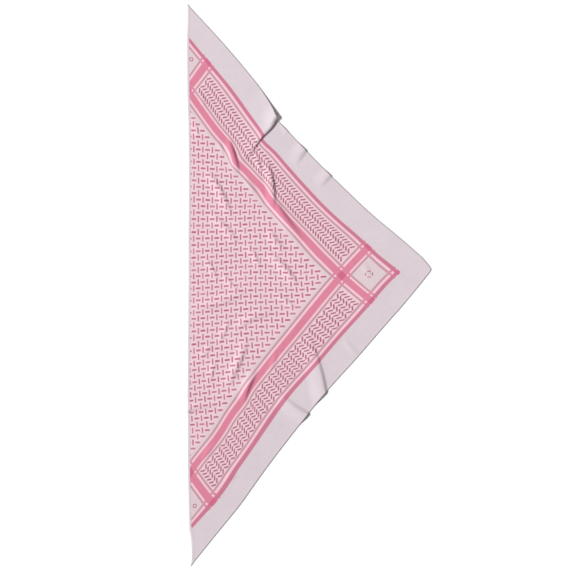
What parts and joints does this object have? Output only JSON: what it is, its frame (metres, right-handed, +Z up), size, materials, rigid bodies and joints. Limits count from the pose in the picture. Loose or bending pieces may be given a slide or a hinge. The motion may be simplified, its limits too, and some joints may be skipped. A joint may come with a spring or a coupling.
{
  "type": "triangle scarf",
  "caption": "Large triangle scarf in fine knit, laid flat, with soft folds and one tuck near a short edge, a bound long edge and narrow finished short edges.",
  "frame": {"origin": "under the middle of the scarf's outline, on the surface it lies on", "axes": "+Z up from the surface; +Y along the long edge towards the upper tip; +X from the long edge towards the corner between the short edges"},
  "size_m": [0.6951, 1.6, 0.014],
  "materials": {
    "knit": "fine soft knit, pale pink with rose dashes and stripes knitted in",
    "edging": "fine soft knit, plain pale pink"
  },
  "bodies": {
    "root": {"scarf_panel": "knit", "long_edge_binding": "edging", "upper_edging": "edging", "lower_edging": "edging"}
  },
  "joints": []
}
